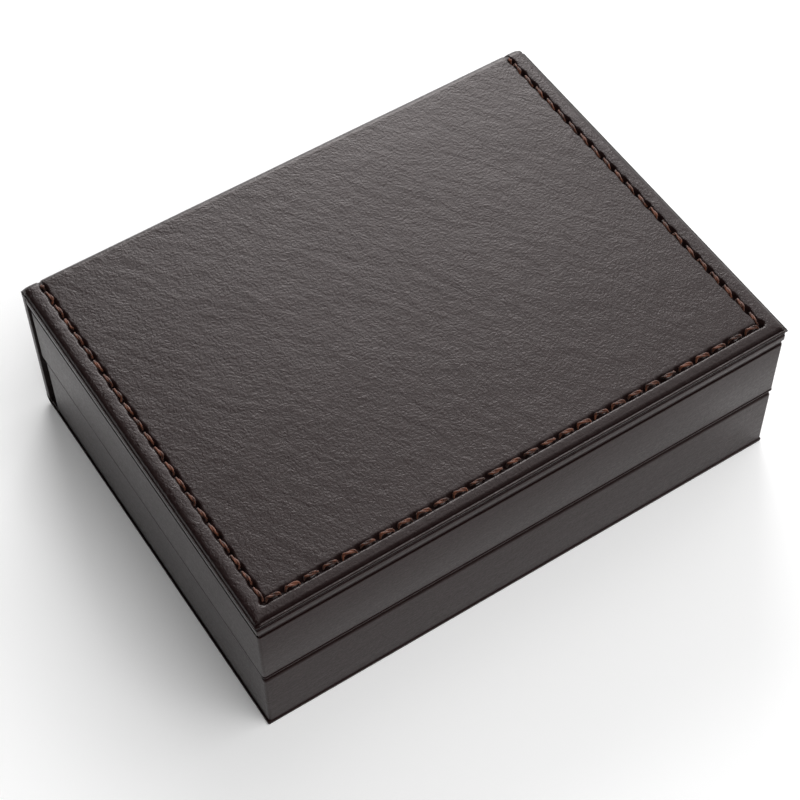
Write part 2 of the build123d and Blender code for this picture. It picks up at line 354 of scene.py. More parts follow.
class Bench:
    """A material under construction, with its shader and its pattern nodes."""

    def __init__(self, name: str) -> None:
        """Start a material with an empty Principled shader."""
        self.material = bpy.data.materials.new(name)
        self.material.use_nodes = True
        self.tree = self.material.node_tree
        self.shader = self.tree.nodes["Principled BSDF"]
        self.place = self.node("ShaderNodeTexCoord").outputs["Object"]
        self.normal: Socket | None = None

    def node(self, kind: str, settings: dict | None = None, **inputs: object) -> bpy.types.Node:
        """Add a node.

        Args:
            kind: Blender's type of the node.
            settings: The node's own properties.
            inputs: Values or outputs for its inputs, with _ for a space in a name.

        Returns:
            The node.
        """
        made = self.tree.nodes.new(kind)
        for key, value in (settings or {}).items():
            setattr(made, key, value)
        for key, value in inputs.items():
            self.feed(made.inputs[key.replace("_", " ")], value)
        return made

    def feed(self, socket: Socket, value: object) -> None:
        """Link an output to a socket, or set the socket's value."""
        if isinstance(value, Socket):
            self.tree.links.new(value, socket)
        else:
            socket.default_value = value

    def set(self, **inputs: object) -> None:
        """Set or link the shader's own inputs, with _ for a space in a name."""
        for key, value in inputs.items():
            self.feed(self.shader.inputs[key.replace("_", " ")], value)

    def stretched(self, stretch: Triple, turn: Triple = (0, 0, 0)) -> Socket:
        """Give the place on the piece, turned and then stretched."""
        turned = self.node("ShaderNodeMapping", Vector=self.place, Rotation=turn)
        drawn = self.node("ShaderNodeMapping", Vector=turned.outputs["Vector"], Scale=stretch)
        return drawn.outputs["Vector"]

    def warped(self, place: Socket, scale: float, reach: float) -> Socket:
        """Shift places about, so that a pattern loses its regular look.

        Args:
            place: The places to shift.
            scale: Waves per metre.
            reach: How far they shift, in metres.

        Returns:
            The shifted places.
        """
        drift = self.noise(place, scale, 2, colour=True)
        centred = self.node("ShaderNodeVectorMath", {"operation": "SUBTRACT"}, Vector=drift)
        centred.inputs[1].default_value = (0.5, 0.5, 0.5)
        moved = self.node("ShaderNodeVectorMath", {"operation": "MULTIPLY_ADD"})
        self.feed(moved.inputs[0], centred.outputs[0])
        moved.inputs[1].default_value = (reach, reach, reach)
        self.feed(moved.inputs[2], place)
        return moved.outputs[0]

    def noise(
        self,
        place: Socket,
        scale: float,
        detail: float,
        rough: float = 0.5,
        colour: bool = False,
    ) -> Socket:
        """Add soft noise.

        Args:
            place: Where it is read.
            scale: Waves per metre.
            detail: Number of finer layers.
            rough: Strength of the finer layers.
            colour: Whether to give three values instead of one.

        Returns:
            The noise, about 0.5.
        """
        made = self.node("ShaderNodeTexNoise", Vector=place, Scale=scale, Detail=detail)
        made.inputs["Roughness"].default_value = rough
        return made.outputs["Color" if colour else "Fac"]

    def cells(self, place: Socket, scale: float) -> Socket:
        """Give the distance to the borders of random cells, in cell sizes."""
        settings = {"feature": "DISTANCE_TO_EDGE"}
        return self.node("ShaderNodeTexVoronoi", settings, Vector=place, Scale=scale).outputs[0]

    def spread(
        self,
        value: Socket,
        source: tuple[float, float],
        target: tuple[float, float],
    ) -> Socket:
        """Map a value from one range to another, smoothly and within it."""
        made = self.node("ShaderNodeMapRange", {"interpolation_type": "SMOOTHSTEP"})
        for index, level in enumerate((value, *source, *target)):
            self.feed(made.inputs[index], level)
        return made.outputs[0]

    def blend(self, share: Socket, first: Triple, second: Triple) -> Socket:
        """Mix two colours."""
        made = self.node("ShaderNodeMix", {"data_type": "RGBA"})
        self.feed(made.inputs[0], share)
        made.inputs[6].default_value = (*first, 1)
        made.inputs[7].default_value = (*second, 1)
        return made.outputs[2]

    def add(self, first: object, second: object, kind: str = "ADD") -> Socket:
        """Combine two values by a kind of sum."""
        made = self.node("ShaderNodeMath", {"operation": kind})
        self.feed(made.inputs[0], first)
        self.feed(made.inputs[1], second)
        return made.outputs[0]

    def relief(self, height: Socket, depth: float, strength: float = 1.0) -> None:
        """Lay a relief over the ones before it.

        Args:
            height: The relief, from 0 to 1.
            depth: Its depth in millimetres.
            strength: How much of it shows.
        """
        made = self.node("ShaderNodeBump", Height=height, Distance=depth * MM, Strength=strength)
        if self.normal is not None:
            self.feed(made.inputs["Normal"], self.normal)
        self.normal = made.outputs[0]
        self.set(Normal=self.normal)


@dataclass(frozen=True)
class Leatherette:
    """Coated cloth with a fine crumpled grain, half glossy."""

    name: str
    dark: Triple = (0.009, 0.0042, 0.004)
    light: Triple = (0.015, 0.008, 0.0077)
    roughness: tuple[float, float] = (0.3, 0.38)
    specular: float = 0.5
    tint: Triple = (1.0, 0.915, 0.91)
    grain: float = 0.075
    swell: float = 0.35
    crease: float = 0.18
    crease_turn: float = 1.03
    crease_stretch: Triple = (0.45, 1.0, 1.0)
    streaks: Triple | None = None

    def material(self) -> Material:
        """Make the material."""
        bench = Bench(self.name)
        place = bench.place
        crumpled = bench.warped(place, 260, 0.0016)
        drawn = bench.stretched(self.crease_stretch, (0, 0, self.crease_turn))
        creases = bench.noise(bench.warped(drawn, 120, 0.004), 330, 2, 0.5)
        cells = bench.spread(bench.cells(crumpled, 900), (0.0, 0.28), (0.0, 1.0))
        fine = bench.noise(place, 3600, 2, 0.6)
        mottle = bench.noise(crumpled, 1300, 3, 0.6)
        bench.relief(bench.noise(place, 26, 1), 1.6 * self.swell, 0.5)
        bench.relief(bench.noise(place, 75, 2), 0.5 * self.swell, 0.6)
        bench.relief(creases, self.crease, 0.8)
        bench.relief(mottle, 2.2 * self.grain, 0.7)
        bench.relief(cells, 0.45 * self.grain, 0.55)
        bench.relief(fine, 0.5 * self.grain, 0.5)
        if self.streaks:
            lines = bench.noise(bench.stretched(self.streaks), 100, 3, 0.6)
            bench.relief(lines, 0.12, 0.6)
        shade = bench.spread(mottle, (0.3, 0.72), (0.0, 1.0))
        bench.set(Base_Color=bench.blend(shade, self.dark, self.light))
        bench.set(Roughness=bench.spread(mottle, (0.3, 0.7), self.roughness[::-1]))
        bench.set(Specular_IOR_Level=self.specular, Specular_Tint=(*self.tint, 1))
        return bench.material


@dataclass(frozen=True)
class Board:
    """Matt pressed board, with its fibres and flecks."""

    name: str
    dark: Triple
    light: Triple
    flecks: float = 900.0

    def material(self) -> Material:
        """Make the material."""
        bench = Bench(self.name)
        fibres = bench.noise(bench.warped(bench.place, 300, 0.002), self.flecks, 5, 0.7)
        bench.relief(fibres, 0.08, 0.6)
        shade = bench.spread(fibres, (0.3, 0.7), (0.0, 1.0))
        bench.set(Base_Color=bench.blend(shade, self.dark, self.light), Roughness=0.9)
        bench.set(Specular_IOR_Level=0.25)
        return bench.material


@dataclass(frozen=True)
class Pile:
    """Short dense pile, which lightens where it is seen edge on."""

    name: str
    dark: Triple
    light: Triple
    sheen: float

    def material(self) -> Material:
        """Make the material."""
        bench = Bench(self.name)
        tufts = bench.noise(bench.place, 3400, 3, 0.7)
        brushed = bench.noise(bench.stretched((0.5, 1.0, 1.0)), 90, 3, 0.6)
        bench.relief(brushed, 0.5, 0.5)
        bench.relief(tufts, 0.12, 0.8)
        shade = bench.spread(bench.add(tufts, brushed), (0.7, 1.3), (0.0, 1.0))
        bench.set(Base_Color=bench.blend(shade, self.dark, self.light), Roughness=0.95)
        bench.set(Specular_IOR_Level=0.15, Sheen_Weight=self.sheen, Sheen_Roughness=0.35)
        return bench.material


@dataclass(frozen=True)
class Woven:
    """Cloth of fine warp and weft, from satin to ribbed elastic."""

    name: str
    dark: Triple
    light: Triple
    warp: float
    weft: float
    roughness: float
    sheen: float = 0.2
    depth: float = 0.05
    folds: float = 0.0

    def material(self) -> Material:
        """Make the material."""
        bench = Bench(self.name)
        place = bench.warped(bench.place, 150, 0.0004)
        threads = []
        for axis, density in (("X", self.warp), ("Y", self.weft)):
            settings = {"wave_type": "BANDS", "bands_direction": axis, "wave_profile": "SIN"}
            scale = density * math.tau / 20
            wave = bench.node("ShaderNodeTexWave", settings, Vector=place, Scale=scale)
            wave.inputs["Distortion"].default_value = 0.4
            threads.append(wave.outputs["Fac"])
        weave = bench.add(threads[0], threads[1], "MAXIMUM")
        uneven = bench.noise(place, 500, 3, 0.6)
        if self.folds:
            bench.relief(bench.noise(bench.stretched((1.0, 0.4, 1.0)), 45, 2), self.folds, 0.6)
        bench.relief(weave, self.depth, 0.8)
        bench.relief(uneven, self.depth, 0.5)
        shade = bench.spread(bench.add(weave, uneven), (0.7, 1.5), (0.0, 1.0))
        bench.set(Base_Color=bench.blend(shade, self.dark, self.light))
        bench.set(Roughness=self.roughness, Sheen_Weight=self.sheen, Sheen_Roughness=0.4)
        return bench.material


@dataclass(frozen=True)
class Thread:
    """Waxed thread, with fibres along its turns."""

    name: str
    dark: Triple = (0.016, 0.005, 0.003)
    light: Triple = (0.15, 0.05, 0.025)

    def material(self) -> Material:
        """Make the material."""
        bench = Bench(self.name)
        fibres = bench.noise(bench.place, 3800, 3, 0.7)
        patches = bench.noise(bench.place, 520, 2)
        bench.relief(fibres, 0.06, 0.9)
        shade = bench.spread(bench.add(fibres, patches), (0.75, 1.2), (0.0, 1.0))
        bench.set(Base_Color=bench.blend(shade, self.dark, self.light), Roughness=0.5)
        bench.set(Sheen_Weight=0.15, Sheen_Roughness=0.5)
        return bench.material


@dataclass(frozen=True)
class Nickel:
    """Nickel plate, lightly scratched."""

    name: str

    def material(self) -> Material:
        """Make the material."""
        bench = Bench(self.name)
        scratches = bench.noise(bench.stretched((1.0, 30.0, 30.0)), 90, 4, 0.7)
        bench.relief(scratches, 0.02, 0.5)
        shade = bench.spread(scratches, (0.3, 0.7), (0.0, 1.0))
        bench.set(Base_Color=bench.blend(shade, (0.42, 0.41, 0.39), (0.62, 0.61, 0.58)))
        bench.set(Metallic=1.0, Roughness=bench.spread(scratches, (0.3, 0.7), (0.2, 0.38)))
        return bench.material


class Wardrobe:
    """Every finish of the box, each made once."""

    def __init__(self) -> None:
        """Make the materials."""
        self.panel = Leatherette("leatherette_panel").material()
        self.wall = Leatherette(
            "leatherette_wall",
            dark=(0.0112, 0.0048, 0.0046),
            light=(0.0176, 0.0088, 0.0084),
            specular=0.27,
            roughness=(0.34, 0.42),
            tint=(1.0, 0.89, 0.885),
            grain=0.03,
            swell=0.2,
            crease=0.06,
            streaks=(0.12, 0.12, 3.0),
        ).material()
        self.liner = Leatherette(
            "leatherette_liner", grain=0.03, swell=0.1, crease=0.05, roughness=(0.5, 0.62)
        ).material()
        self.greyboard = Board("greyboard", (0.33, 0.31, 0.28), (0.5, 0.48, 0.45)).material()
        self.fibreboard = Board("fibreboard", (0.42, 0.31, 0.2), (0.62, 0.5, 0.36)).material()
        self.velvet = Pile("velvet", (0.024, 0.019, 0.018), (0.06, 0.05, 0.047), 0.5).material()
        self.satin = Woven(
            "satin", (0.52, 0.45, 0.36), (0.68, 0.61, 0.51), 3000, 1500, 0.36, 0.3, 0.02, 0.6
        ).material()
        self.elastic = Woven(
            "elastic", (0.014, 0.013, 0.012), (0.05, 0.046, 0.044), 900, 1900, 0.7
        ).material()
        self.ribbon = Woven(
            "ribbon", (0.19, 0.085, 0.045), (0.31, 0.15, 0.09), 2200, 1200, 0.42, 0.3, 0.03
        ).material()
        self.thread = Thread("waxed_thread").material()
        self.nickel = Nickel("nickel").material()


def dress(piece: Piece, finish: Material) -> None:
    """Give a piece one finish all over."""
    piece.data.materials.clear()
    piece.data.materials.append(finish)


def fit(piece: Piece, body: Body, slot: Slot, finish: Material, *replaced: str) -> Piece:
    """Finish a piece and put it on its body.

    Args:
        piece: The piece.
        body: What it moves with.
        slot: The record's slot; not used.
        finish: Its material.
        replaced: CAD nodes that it stands for.

    Returns:
        The piece.
    """
    dress(piece, finish)
    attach(piece, body.value)
    if replaced:
        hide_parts(*replaced)
    log.info("%s on %s: %d faces", piece.name, body.value, len(piece.data.polygons))
    return piece


# The box's own pieces, with their sizes in millimetres


@dataclass(frozen=True)
class Case:
    """Sizes that the sub-assemblies share."""

    half_length: float = 85.0
    front_y: float = -64.75
    back_y: float = 64.75
    fold_y: float = 61.75
    height: float = 55.0
    panel_z: float = 52.6
    backing_z: float = 51.8
    lid_case_z: float = 49.4
    upper_rim_z: float = 26.0
    lower_rim_z: float = 25.8
    case_z: float = 2.4
    leather: float = 0.5
    inset: float = 0.3
    turn_in: float = 11.0
    fold_radius: float = 3.0
    seam_x: float = 79.3
    seam_front_y: float = -59.05
    seam_back_y: float = 59.95
    front_stitches: int = 28
    side_stitches: int = 21

    @property
    def case_half(self) -> float:
        """Half the length of the base and lid boards in their covers."""
        return self.half_length - self.inset

    @property
    def front_pitch(self) -> float:
        """Length of one stitch along the front."""
        return 2 * self.seam_x / self.front_stitches

    @property
    def side_pitch(self) -> float:
        """Length of one stitch along an end."""
        return (self.seam_back_y - self.seam_front_y) / self.side_stitches


def seam_distance(case: Case, x: np.ndarray, y: np.ndarray) -> np.ndarray:
    """Give how far places on the panel lie outside the seam's line, or within it if negative."""
    over_x = np.abs(x) - case.seam_x
    over_y = case.seam_front_y - y
    outside = np.hypot(np.maximum(over_x, 0), np.maximum(over_y, 0))
    return np.where((over_x > 0) | (over_y > 0), outside, np.maximum(over_x, over_y))


@dataclass
class PaddedPanel:
    """The lid's padded panel: a rolled edge, a sewn groove with needle holes and soft swells."""

    case: Case
    foot: float = 0.95
    neck: float = 0.5
    front_lip: float = 1.6
    front_lip_width: float = 1.1
    side_lip: float = 1.3
    side_lip_width: float = 0.3
    valley: float = 0.35
    valley_width: float = 0.35
    front_roll: float = 3.8
    side_roll: float = 2.6
    corner: float = 0.5
    roll_corner: float = 1.6
    groove_depth: float = 0.8
    front_groove: float = 0.9
    side_groove: float = 0.5
    front_shift: float = 0.2
    hole_depth: float = 1.5
    hole_length: float = 1.1
    hole_width: float = 0.75
    border_crown: float = 0.2
    border_crest: float = 2.8
    panel_crown: float = 0.1
    panel_crest: float = 2.4
    swell: float = 0.1
    rim_fall: float = 0.25
    rim_fall_width: float = 0.3
    rim_band: float = 2.1
    rim_step: float = 0.15
    band: float = 8.1
    fine: float = 0.3
    under: float = 2.5
    steps_per_stitch: int = 10

    def lines(self, low: float, high: float, coarse: float, both: bool) -> np.ndarray:
        """Place grid lines close together near a sewn edge and wider elsewhere."""
        near = np.concatenate(
            [
                np.arange(0, self.rim_band, self.rim_step),
                np.arange(self.rim_band, self.band, self.fine),
            ]
        )
        far_end = high - self.band if both else high
        count = round((far_end - low - self.band) / coarse)
        middle = np.linspace(low + self.band, far_end, count + 1)
        parts = [low + near, middle] + ([high - near[::-1]] if both else [])
        return np.concatenate(parts)

    def rounded(self, points: np.ndarray) -> np.ndarray:
        """Round the two front corners of the grid in plan, by the same radius at its rim."""
        case = self.case
        centre_x = case.half_length - self.corner
        centre_y = case.front_y + self.corner
        over_x = np.abs(points[:, 0]) - centre_x
        over_y = centre_y - points[:, 1]
        corner = (over_x > 0) & (over_y > 0)
        reach = np.maximum(over_x, over_y)
        scale = np.where(corner, reach / np.maximum(np.hypot(over_x, over_y), 1e-9), 1.0)
        moved = points.copy()
        turned_x = np.sign(points[:, 0]) * (centre_x + over_x * scale)
        moved[:, 0] = np.where(corner, turned_x, points[:, 0])
        moved[:, 1] = np.where(corner, centre_y - over_y * scale, points[:, 1])
        return moved

    def rim_distance(self, x: np.ndarray, y: np.ndarray) -> np.ndarray:
        """Give the distance inwards from the rolled rim."""
        radius = self.roll_corner
        from_side = self.case.half_length - np.abs(x)
        from_front = y - self.case.front_y
        short_x = np.maximum(radius - from_side, 0)
        short_y = np.maximum(radius - from_front, 0)
        inner = np.minimum(from_side, from_front)
        return np.where((short_x > 0) & (short_y > 0), radius - np.hypot(short_x, short_y), inner)

    def heights(self, points: np.ndarray) -> np.ndarray:
        """Give the panel's height at each place on it."""
        case = self.case
        x, y = points[:, 0], points[:, 1]
        rim = np.maximum(self.rim_distance(x, y), 0)
        side = ramp((y - case.front_y) - (case.half_length - np.abs(x)), -1.5, 1.5)
        lip = self.front_lip + (self.side_lip - self.front_lip) * side
        lip_width = self.front_lip_width + (self.side_lip_width - self.front_lip_width) * side
        roll = self.front_roll + (self.side_roll - self.front_roll) * side
        lip_z = case.panel_z + lip
        along = np.clip((rim - lip_width) / roll, 0, 1)
        height = lip_z + (case.height - lip_z) * np.sqrt(1 - (1 - along) ** 2)
        height -= self.rim_fall * np.clip(1 - rim / self.rim_fall_width, 0, 1) ** 2
        height -= self.valley * np.exp(-(((rim - lip_width) / self.valley_width) ** 2))
        seam = seam_distance(case, x, y)
        groove = self.front_groove + (self.side_groove - self.front_groove) * side
        shift = self.front_shift * (1 - side)
        height -= self.groove_depth * np.exp(-(((seam - shift) / groove) ** 4))
        inwards = np.clip((rim - self.border_crest) / (rim + seam - self.border_crest), 0, 1)
        height -= self.border_crown * np.where(seam > 0, inwards, 0) ** 2
        outwards = np.clip(1 + seam / self.panel_crest, 0, 1)
        height -= self.panel_crown * np.where(seam > 0, 0, outwards) ** 2
        height -= self.holes(x, y)
        field = ramp(-seam, 1.5, 12.0)
        swells = 0.65 * waves(points, 34, 3.0) + 0.35 * waves(points * (1, 0.6, 1), 13, 9.0)
        height += self.swell * swells * (0.3 + 0.7 * field)
        return height - self.swell

    def holes(self, x: np.ndarray, y: np.ndarray) -> np.ndarray:
        """Give the depth of the needle holes at each place."""
        case = self.case
        front = (x + case.seam_x) / case.front_pitch
        front_along = np.abs(front - np.clip(np.round(front), 0, case.front_stitches))
        side = (y - case.seam_front_y) / case.side_pitch
        side_along = np.abs(side - np.clip(np.round(side), 0, case.side_stitches))
        pairs = (
            (front_along * case.front_pitch, np.abs(y - case.seam_front_y)),
            (side_along * case.side_pitch, np.abs(np.abs(x) - case.seam_x)),
        )
        depth = np.zeros_like(x)
        for along, across in pairs:
            away = (along / self.hole_length) ** 4 + (across / self.hole_width) ** 4
            depth = np.maximum(depth, self.hole_depth * np.exp(-away))
        return depth

    def turn_under(self, piece: Piece) -> None:
        """Extrude the rim down and inwards, and close the underside."""
        case = self.case
        foot = case.panel_z + self.foot
        low = case.panel_z + 0.05
        steps = (
            (foot + 0.12, 0.0),
            (foot, 0.15),
            (foot, self.neck),
            (low, 0.0),
            (low, self.under),
        )
        for level, inward in steps:
            before = len(piece.data.vertices)
            pick_rim(piece)
            bpy.ops.mesh.extrude_edges_move()
            leave_edit()
            points = points_of(piece)
            new = points[before:]
            centre_x = case.half_length - self.corner
            centre_y = case.front_y + self.corner
            away = np.stack(
                [
                    np.sign(new[:, 0]) * np.maximum(np.abs(new[:, 0]) - centre_x, 0),
                    np.minimum(new[:, 1] - centre_y, 0),
                ],
                axis=1,
            )
            length = np.maximum(np.hypot(away[:, 0], away[:, 1]), 1e-6)
            new[:, :2] -= away / length[:, None] * inward * (length > 1e-3)[:, None]
            new[:, 2] = level
            move_points(piece, points)
        close_rim(piece)

    def columns(self) -> np.ndarray:
        """Place the grid lines across the panel."""
        half, step = self.case.half_length, self.case.front_pitch / self.steps_per_stitch
        return self.lines(-half, half, step, True)

    def head_fold(self, finish: Material) -> Piece:
        """Carry the cover on over the head fold, where its roll and groove fade out.

        Args:
            finish: Its leatherette.

        Returns:
            The fold, curved from the lid's top down towards the spine.
        """
        case = self.case
        reach = case.fold_radius * math.pi / 2
        rows = np.linspace(case.fold_y, case.fold_y + reach, 15)
        piece = add_grid("head_fold", self.columns(), rows)
        points = points_of(piece)
        fade = 1 - ramp(points[:, 1], case.fold_y + 1.5, case.fold_y + reach)
        points[:, 2] = case.height + (self.heights(points) - case.height) * fade
        narrow = 1 - (1 - fade) * case.inset / case.half_length
        points[:, 0] *= narrow
        move_points(piece, bent(case, points, -1))
        modify(piece, "SOLIDIFY", thickness=case.leather * MM, offset=-1)
        smooth(piece, 60)
        dress(piece, finish)
        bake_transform(piece)
        log.info("head_fold bends between spine and lid")
        return piece

    def build(self, finish: Material) -> Piece:
        """Build the panel.

        Args:
            finish: Its leatherette.

        Returns:
            The panel.
        """
        case = self.case
        steps = self.steps_per_stitch
        columns = self.columns()
        rows = self.lines(case.front_y, case.fold_y, case.side_pitch / steps, False)
        piece = add_grid("lid_panel", columns, rows)
        points = self.rounded(points_of(piece))
        points[:, 2] = self.heights(points)
        move_points(piece, points)
        self.turn_under(piece)
        smooth(piece, 60)
        fit(piece, Body.LID, Slot.LEATHERETTE, finish, "lid_cover", "panel_foam", "panel_board")
        return piece


@dataclass
class SaddleSeam:
    """Twisted thread in separate bowed stitches, one from each needle hole to the next."""

    case: Case
    ply: float = 0.33
    ply_offset: float = 0.24
    turns: float = 0.75
    rings: int = 15
    sides: int = 8
    dive: float = 1.3
    bow: float = 0.2
    end_gap: float = 1.6
    tilt: float = 0.12
    front_level: float = 0.45
    side_level: float = 0.55
    thick: float = 1.15
    thin: float = 0.95
    tail: float = 0.4

    def stitch(self, name: str, pitch: float) -> Piece:
        """Make one stitch along X, about the origin.

        Args:
            name: Its name.
            pitch: Distance from hole to hole.

        Returns:
            The stitch, a mesh of two twisted plies.
        """
        curve = bpy.data.curves.new(name, "CURVE")
        curve.dimensions = "3D"
        curve.bevel_depth = self.ply * MM
        curve.bevel_resolution = self.sides // 2 - 2
        curve.use_fill_caps = True
        half = pitch / 2 - self.end_gap / 2
        for phase in (0.0, math.pi):
            spline = curve.splines.new("POLY")
            spline.points.add(self.rings - 1)
            for index, point in enumerate(spline.points):
                share = 2 * index / (self.rings - 1) - 1
                x = half * math.sin(share * math.pi / 2) * 0.35 + half * share * 0.65
                angle = phase + share * math.pi * self.turns
                narrow = 1 - 0.25 * abs(share) ** 4
                off = self.ply_offset * narrow
                z = self.bow * (1 - share**2) - self.dive * abs(share) ** 9
                place = (x, off * math.cos(angle), z + off * math.sin(angle))
                point.co = (*(value * MM for value in place), 1)
                point.radius = narrow
        piece = bpy.data.objects.new(name, curve)
        bpy.context.scene.collection.objects.link(piece)
        take(piece)
        bpy.ops.object.convert(target="MESH")
        smooth(piece, 80)
        return piece

    def places(self) -> list[tuple[Triple, float, Triple]]:
        """Give each stitch's middle, its turn in radians and its scale."""
        case = self.case
        rows = []
        level = case.height - self.front_level
        for index in range(case.front_stitches):
            x = -case.seam_x + (index + 0.5) * case.front_pitch
            rows.append(((x, case.seam_front_y, level), -self.tilt, (1, 1, 1)))
        level = case.height - self.side_level
        for side in (-1, 1):
            turn = math.pi / 2 - side * self.tilt
            for index in range(case.side_stitches):
                y = case.seam_front_y + (index + 0.5) * case.side_pitch
                wide = self.thick if side > 0 and index in (1, 2) else self.thin
                rows.append(((side * case.seam_x, y, level), turn, (1, wide, wide)))
            y = case.seam_back_y + self.tail * case.side_pitch / 2
            rows.append(((side * case.seam_x, y, level), turn, (self.tail, self.thin, self.thin)))
        return rows

    def build(self, finish: Material) -> Piece:
        """Copy the stitch into every place of the seam and join the copies.

        Args:
            finish: The thread's material.

        Returns:
            The seam.
        """
        model = self.stitch("stitch", self.case.front_pitch)
        copies = []
        for index, (place, turn, scale) in enumerate(self.places()):
            piece = model.copy()
            piece.data = model.data.copy()
            bpy.context.scene.collection.objects.link(piece)
            wander = noise.noise(Vector((index * 1.7, 0.3, 0.9)))
            lift = Vector((0, 0, wander * 0.12))
            piece.location = (Vector(place) + lift) * MM
            piece.rotation_euler = (wander * 1.2, 0, turn + wander * 0.12)
            piece.scale = scale
            copies.append(piece)
        bpy.data.objects.remove(model)
        bpy.ops.object.select_all(action="DESELECT")
        for piece in copies:
            piece.select_set(True)
        bpy.context.view_layer.objects.active = copies[0]
        bpy.ops.object.transform_apply(location=True, rotation=True, scale=True)
        bpy.ops.object.join()
        seam = named("seam_stitches")
        return fit(seam, Body.LID, Slot.THREAD, finish, "seam_thread")


@dataclass
class CoveredBoard:
    """A case board in its cover, with crisp front corners and soft edges."""

    case: Case
    name: str
    body: Body
    outer_z: float
    rim_z: float
    inner_z: float
    replaced: str
    corner: float = 0.5
    edge: float = 0.45
    step: float = 0.9
    tail: float = 58.7

    def build(self, finish: Material) -> Piece:
        """Build the cover round its board, with the window that its liner fills.

        Args:
            finish: Its leatherette.

        Returns:
            The cover.
        """
        case = self.case
        half, front, back = case.case_half, case.front_y + case.inset, case.fold_y
        low, high = sorted((self.outer_z, self.rim_z))
        piece = add_block(self.name, (-half, front, low), (half, back, high))
        bevel(piece, self.corner, 5, lambda at, way: abs(way.z) > 0.9 and at.y < 0)
        bevel(piece, self.edge, 4, lambda at, way: abs(way.z) < 0.1 and at.y < back - 0.01)
        if self.rim_z != self.inner_z:
            middle = (self.outer_z + self.rim_z) / 2
            low, high = sorted((middle, self.inner_z))
            for step, start in ((self.step, front + self.step), (self.edge, self.tail)):
                corners = (step - half, start, low), (half - step, back, high)
                combine(piece, add_block("raised", *corners), "UNION")
        window = half - case.turn_in
        into = math.copysign(case.leather, self.outer_z - self.inner_z)
        levels = sorted((self.inner_z + into, self.inner_z - into))
        carve(
            piece,
            (-window, front + case.turn_in, levels[0]),
            (window, back + 1, levels[1]),
        )
        smooth(piece)
        return fit(piece, self.body, Slot.LEATHERETTE, finish, self.replaced)


@dataclass
class BackingSheet:
    """Thin covered sheet under the padded panel."""

    case: Case
    inset: float = 0.4
    corner: float = 0.5
    edge: float = 0.2
    gap: float = 0.15
    under_gap: float = 0.35

    def build(self, finish: Material) -> Piece:
        """Build the sheet.

        Args:
            finish: Its leatherette.

        Returns:
            The sheet.
        """
        case = self.case
        half, front = case.half_length - self.inset, case.front_y + self.inset
        low = (-half, front, case.backing_z + self.under_gap)
        high = (half, case.fold_y, case.panel_z - self.gap)
        piece = add_block("panel_backing_sheet", low, high)
        bevel(piece, self.corner, 5, lambda at, way: abs(way.z) > 0.9 and at.y < 0)
        bevel(piece, self.edge, 3, lambda at, way: abs(way.z) < 0.1 and at.y < case.fold_y - 0.01)
        smooth(piece)
        return fit(piece, Body.LID, Slot.LEATHERETTE, finish, "panel_backing")


@dataclass
class TrayCover:
    """Leatherette round a tray's four walls, turned over its rim."""

    name: str
    body: Body
    seat_z: float
    rim_z: float
    outer: Span
    hollow: Span
    replaced: str
    shadow: float = 0.0
    corner: float = 0.9
    edge: float = 0.25
    leather: float = 0.5
    recess: float = 0.45
    draw: float = 0.0
    draw_height: float = 3.0
    draw_shoulder: float = 0.4
    draw_steps: int = 10

    def draw_in(self, piece: Piece, up: float) -> None:
        """Extrude the open end on to the rim, over a shoulder at the front and right."""
        x0, x1, y0, y1 = self.outer
        still = np.array([x0, y1])
        reach_out = np.array([x1 - x0, y1 - y0])
        level = self.rim_z - up * self.draw_height
        inward = 0.0
        for step in range(1, self.draw_steps + 1):
            pick(piece, Pick.FACES, lambda at, way: way.z * up > 0.9 and abs(at.z - level) < 0.01)
            bpy.ops.mesh.extrude_region_move()
            leave_edit()
            points = points_of(piece)
            chosen = np.array([vertex.select for vertex in piece.data.vertices])
            along = step / self.draw_steps
            turn = min(1.0, along / self.draw_shoulder)
            reach = self.draw * (1 - math.sqrt(1 - turn**2))
            target = self.rim_z - up * self.draw_height * (1 - along)
            flat = points[chosen, :2] - still
            flat *= 1 - (reach - inward) / (reach_out - inward)
            points[chosen, :2] = still + flat
            points[chosen, 2] = target
            move_points(piece, points)
            level, inward = target, reach

    def build(self, finish: Material) -> Piece:
        """Build the cover.

        Args:
            finish: Its leatherette.

        Returns:
            The cover.
        """
        up = math.copysign(1, self.rim_z - self.seat_z)
        start = self.seat_z + up * self.shadow
        straight = self.rim_z - up * self.draw_height if self.draw else self.rim_z
        piece = add_upright(self.name, self.outer, (start, straight))
        bevel(piece, self.corner, 6, lambda at, way: abs(way.z) > 0.9)
        if self.draw:
            self.draw_in(piece, up)
        else:
            both, rim_z = self.shadow > 0, self.rim_z
            bevel(
                piece,
                self.edge,
                4,
                lambda at, way: abs(way.z) < 0.1 and (both or abs(at.z - rim_z) < 0.01),
            )
        x0, x1, y0, y1 = self.outer
        skin = self.leather
        inside = (x0 + skin, x1 - skin, y0 + skin, y1 - skin)
        if self.shadow:
            back = self.recess
            neck_span = (x0 + back, x1 - back, y0 + back, y1 - back)
            neck = add_upright("neck", neck_span, (self.seat_z, start + up * 1.5))
            combine(piece, neck, "UNION")
        solid = self.draw_height if self.draw else skin
        for span, end in ((self.hollow, self.rim_z + up), (inside, self.rim_z - up * solid)):
            combine(piece, add_upright("cutter", span, (self.seat_z - up, end)), "DIFFERENCE")
        smooth(piece)
        return fit(piece, self.body, Slot.LEATHERETTE, finish, self.replaced)


